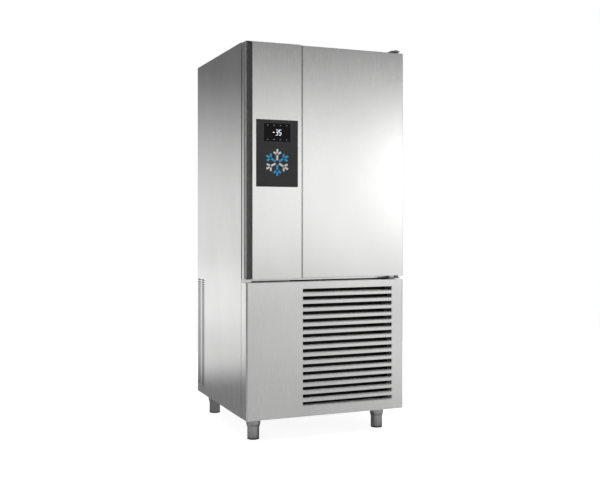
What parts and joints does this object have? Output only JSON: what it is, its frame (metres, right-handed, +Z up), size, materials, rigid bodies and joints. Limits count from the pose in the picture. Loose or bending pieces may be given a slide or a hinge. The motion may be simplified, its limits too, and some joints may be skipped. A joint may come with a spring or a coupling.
{
  "type": "blast chiller",
  "caption": "Upright stainless blast chiller with one full-height door, finger grip, dark control panel, louvred lower panel and adjustable feet.",
  "frame": {"origin": "on the floor, under the middle of the outer box", "axes": "+X to the right seen from the front, -Y towards the front, +Z up"},
  "size_m": [0.79, 0.8, 1.821],
  "materials": {
    "stainless_skin": "satin brushed",
    "stainless_inside": "fine satin",
    "hinge_steel": "satin",
    "galvanised": "galvanised",
    "foot_steel": "satin",
    "foam": "rigid foam",
    "break_plastic": "matt",
    "gasket": "matt",
    "fascia": "matt",
    "display_glass": "gloss",
    "circuit_board": "matt",
    "coil_aluminium": "bright",
    "filter_mesh": "matt",
    "fan_aluminium": "coated",
    "copper": "drawn copper",
    "black_paint": "semi-gloss",
    "black_plastic": "matt"
  },
  "bodies": {
    "cabinet": {"left_side_panel": "stainless_skin", "right_side_panel": "stainless_skin", "top_panel": "stainless_skin", "back_panel": "stainless_skin", "rear_service_panel": "stainless_skin", "cell_floor_skin": "stainless_skin", "lower_front_panel": "stainless_skin", "cell_liner": "stainless_inside", "tray_slides_left": "stainless_inside", "tray_slides_right": "stainless_inside", "rack_uprights": "stainless_inside", "rack_hooks": "stainless_inside", "evaporator_side_plates": "stainless_inside", "evaporator_drip_tray": "stainless_inside", "top_hinge_bracket": "hinge_steel", "bottom_hinge_bracket": "hinge_steel", "hinge_screws": "hinge_steel", "rear_screws": "hinge_steel", "base_frame": "galvanised", "front_posts": "galvanised", "condenser_fan_shroud": "galvanised", "electrical_box": "galvanised", "electrical_box_cover": "galvanised", "foot_sleeves": "foot_steel", "cabinet_insulation": "foam", "thermal_break_frame": "break_plastic", "cell_drain": "break_plastic", "compressor_grommets": "gasket", "evaporator_coil": "coil_aluminium", "condenser_coil": "coil_aluminium", "air_filter": "filter_mesh", "evaporator_headers": "copper", "refrigerant_pipes": "copper", "compressor": "black_paint", "liquid_receiver": "black_paint", "condenser_fan_motor": "black_paint", "supply_cable_gland": "black_plastic"},
    "door": {"door_main_skin": "stainless_skin", "door_control_strip": "stainless_skin", "door_handle_grip": "stainless_skin", "door_end_caps": "stainless_skin", "door_inner_panel": "stainless_inside", "door_insulation": "foam", "door_gasket": "gasket", "control_fascia": "fascia", "display_window": "display_glass", "control_board": "circuit_board", "hinge_bushes": "break_plastic"},
    "evaporator_cover": {"evaporator_cover": "stainless_inside", "evaporator_cover_latches": "stainless_inside", "evaporator_fan_motors": "black_paint"},
    "evaporator_fan_lower": {"evaporator_fan_lower": "fan_aluminium"},
    "evaporator_fan_upper": {"evaporator_fan_upper": "fan_aluminium"},
    "condenser_fan": {"condenser_fan_blades": "fan_aluminium"},
    "foot_front_left": {"foot_front_left": "foot_steel"},
    "foot_front_right": {"foot_front_right": "foot_steel"},
    "foot_rear_left": {"foot_rear_left": "foot_steel"},
    "foot_rear_right": {"foot_rear_right": "foot_steel"}
  },
  "joints": [
    {"name": "door_hinge", "type": "hinge", "parent": "cabinet", "child": "door", "pos_m": [0.371, -0.3712, 1.2], "axis": [0, 0, 1], "range_deg": [0, 115]},
    {"name": "evaporator_cover_hinge", "type": "hinge", "parent": "cabinet", "child": "evaporator_cover", "pos_m": [-0.28, 0.143, 1.27], "axis": [0, 0, -1], "range_deg": [0, 45]},
    {"name": "evaporator_fan_lower_spin", "type": "hinge", "parent": "evaporator_cover", "child": "evaporator_fan_lower", "pos_m": [-0.002, 0.167, 1.046], "axis": [0, 1, 0], "continuous": true},
    {"name": "evaporator_fan_upper_spin", "type": "hinge", "parent": "evaporator_cover", "child": "evaporator_fan_upper", "pos_m": [-0.002, 0.167, 1.493], "axis": [0, 1, 0], "continuous": true},
    {"name": "condenser_fan_spin", "type": "hinge", "parent": "cabinet", "child": "condenser_fan", "pos_m": [0.105, -0.206, 0.406], "axis": [0, 1, 0], "continuous": true},
    {"name": "foot_front_left_height", "type": "slide", "parent": "cabinet", "child": "foot_front_left", "axis": [0, 0, -1], "range_m": [0, 0.04]},
    {"name": "foot_front_right_height", "type": "slide", "parent": "cabinet", "child": "foot_front_right", "axis": [0, 0, -1], "range_m": [0, 0.04]},
    {"name": "foot_rear_left_height", "type": "slide", "parent": "cabinet", "child": "foot_rear_left", "axis": [0, 0, -1], "range_m": [0, 0.04]},
    {"name": "foot_rear_right_height", "type": "slide", "parent": "cabinet", "child": "foot_rear_right", "axis": [0, 0, -1], "range_m": [0, 0.04]}
  ]
}
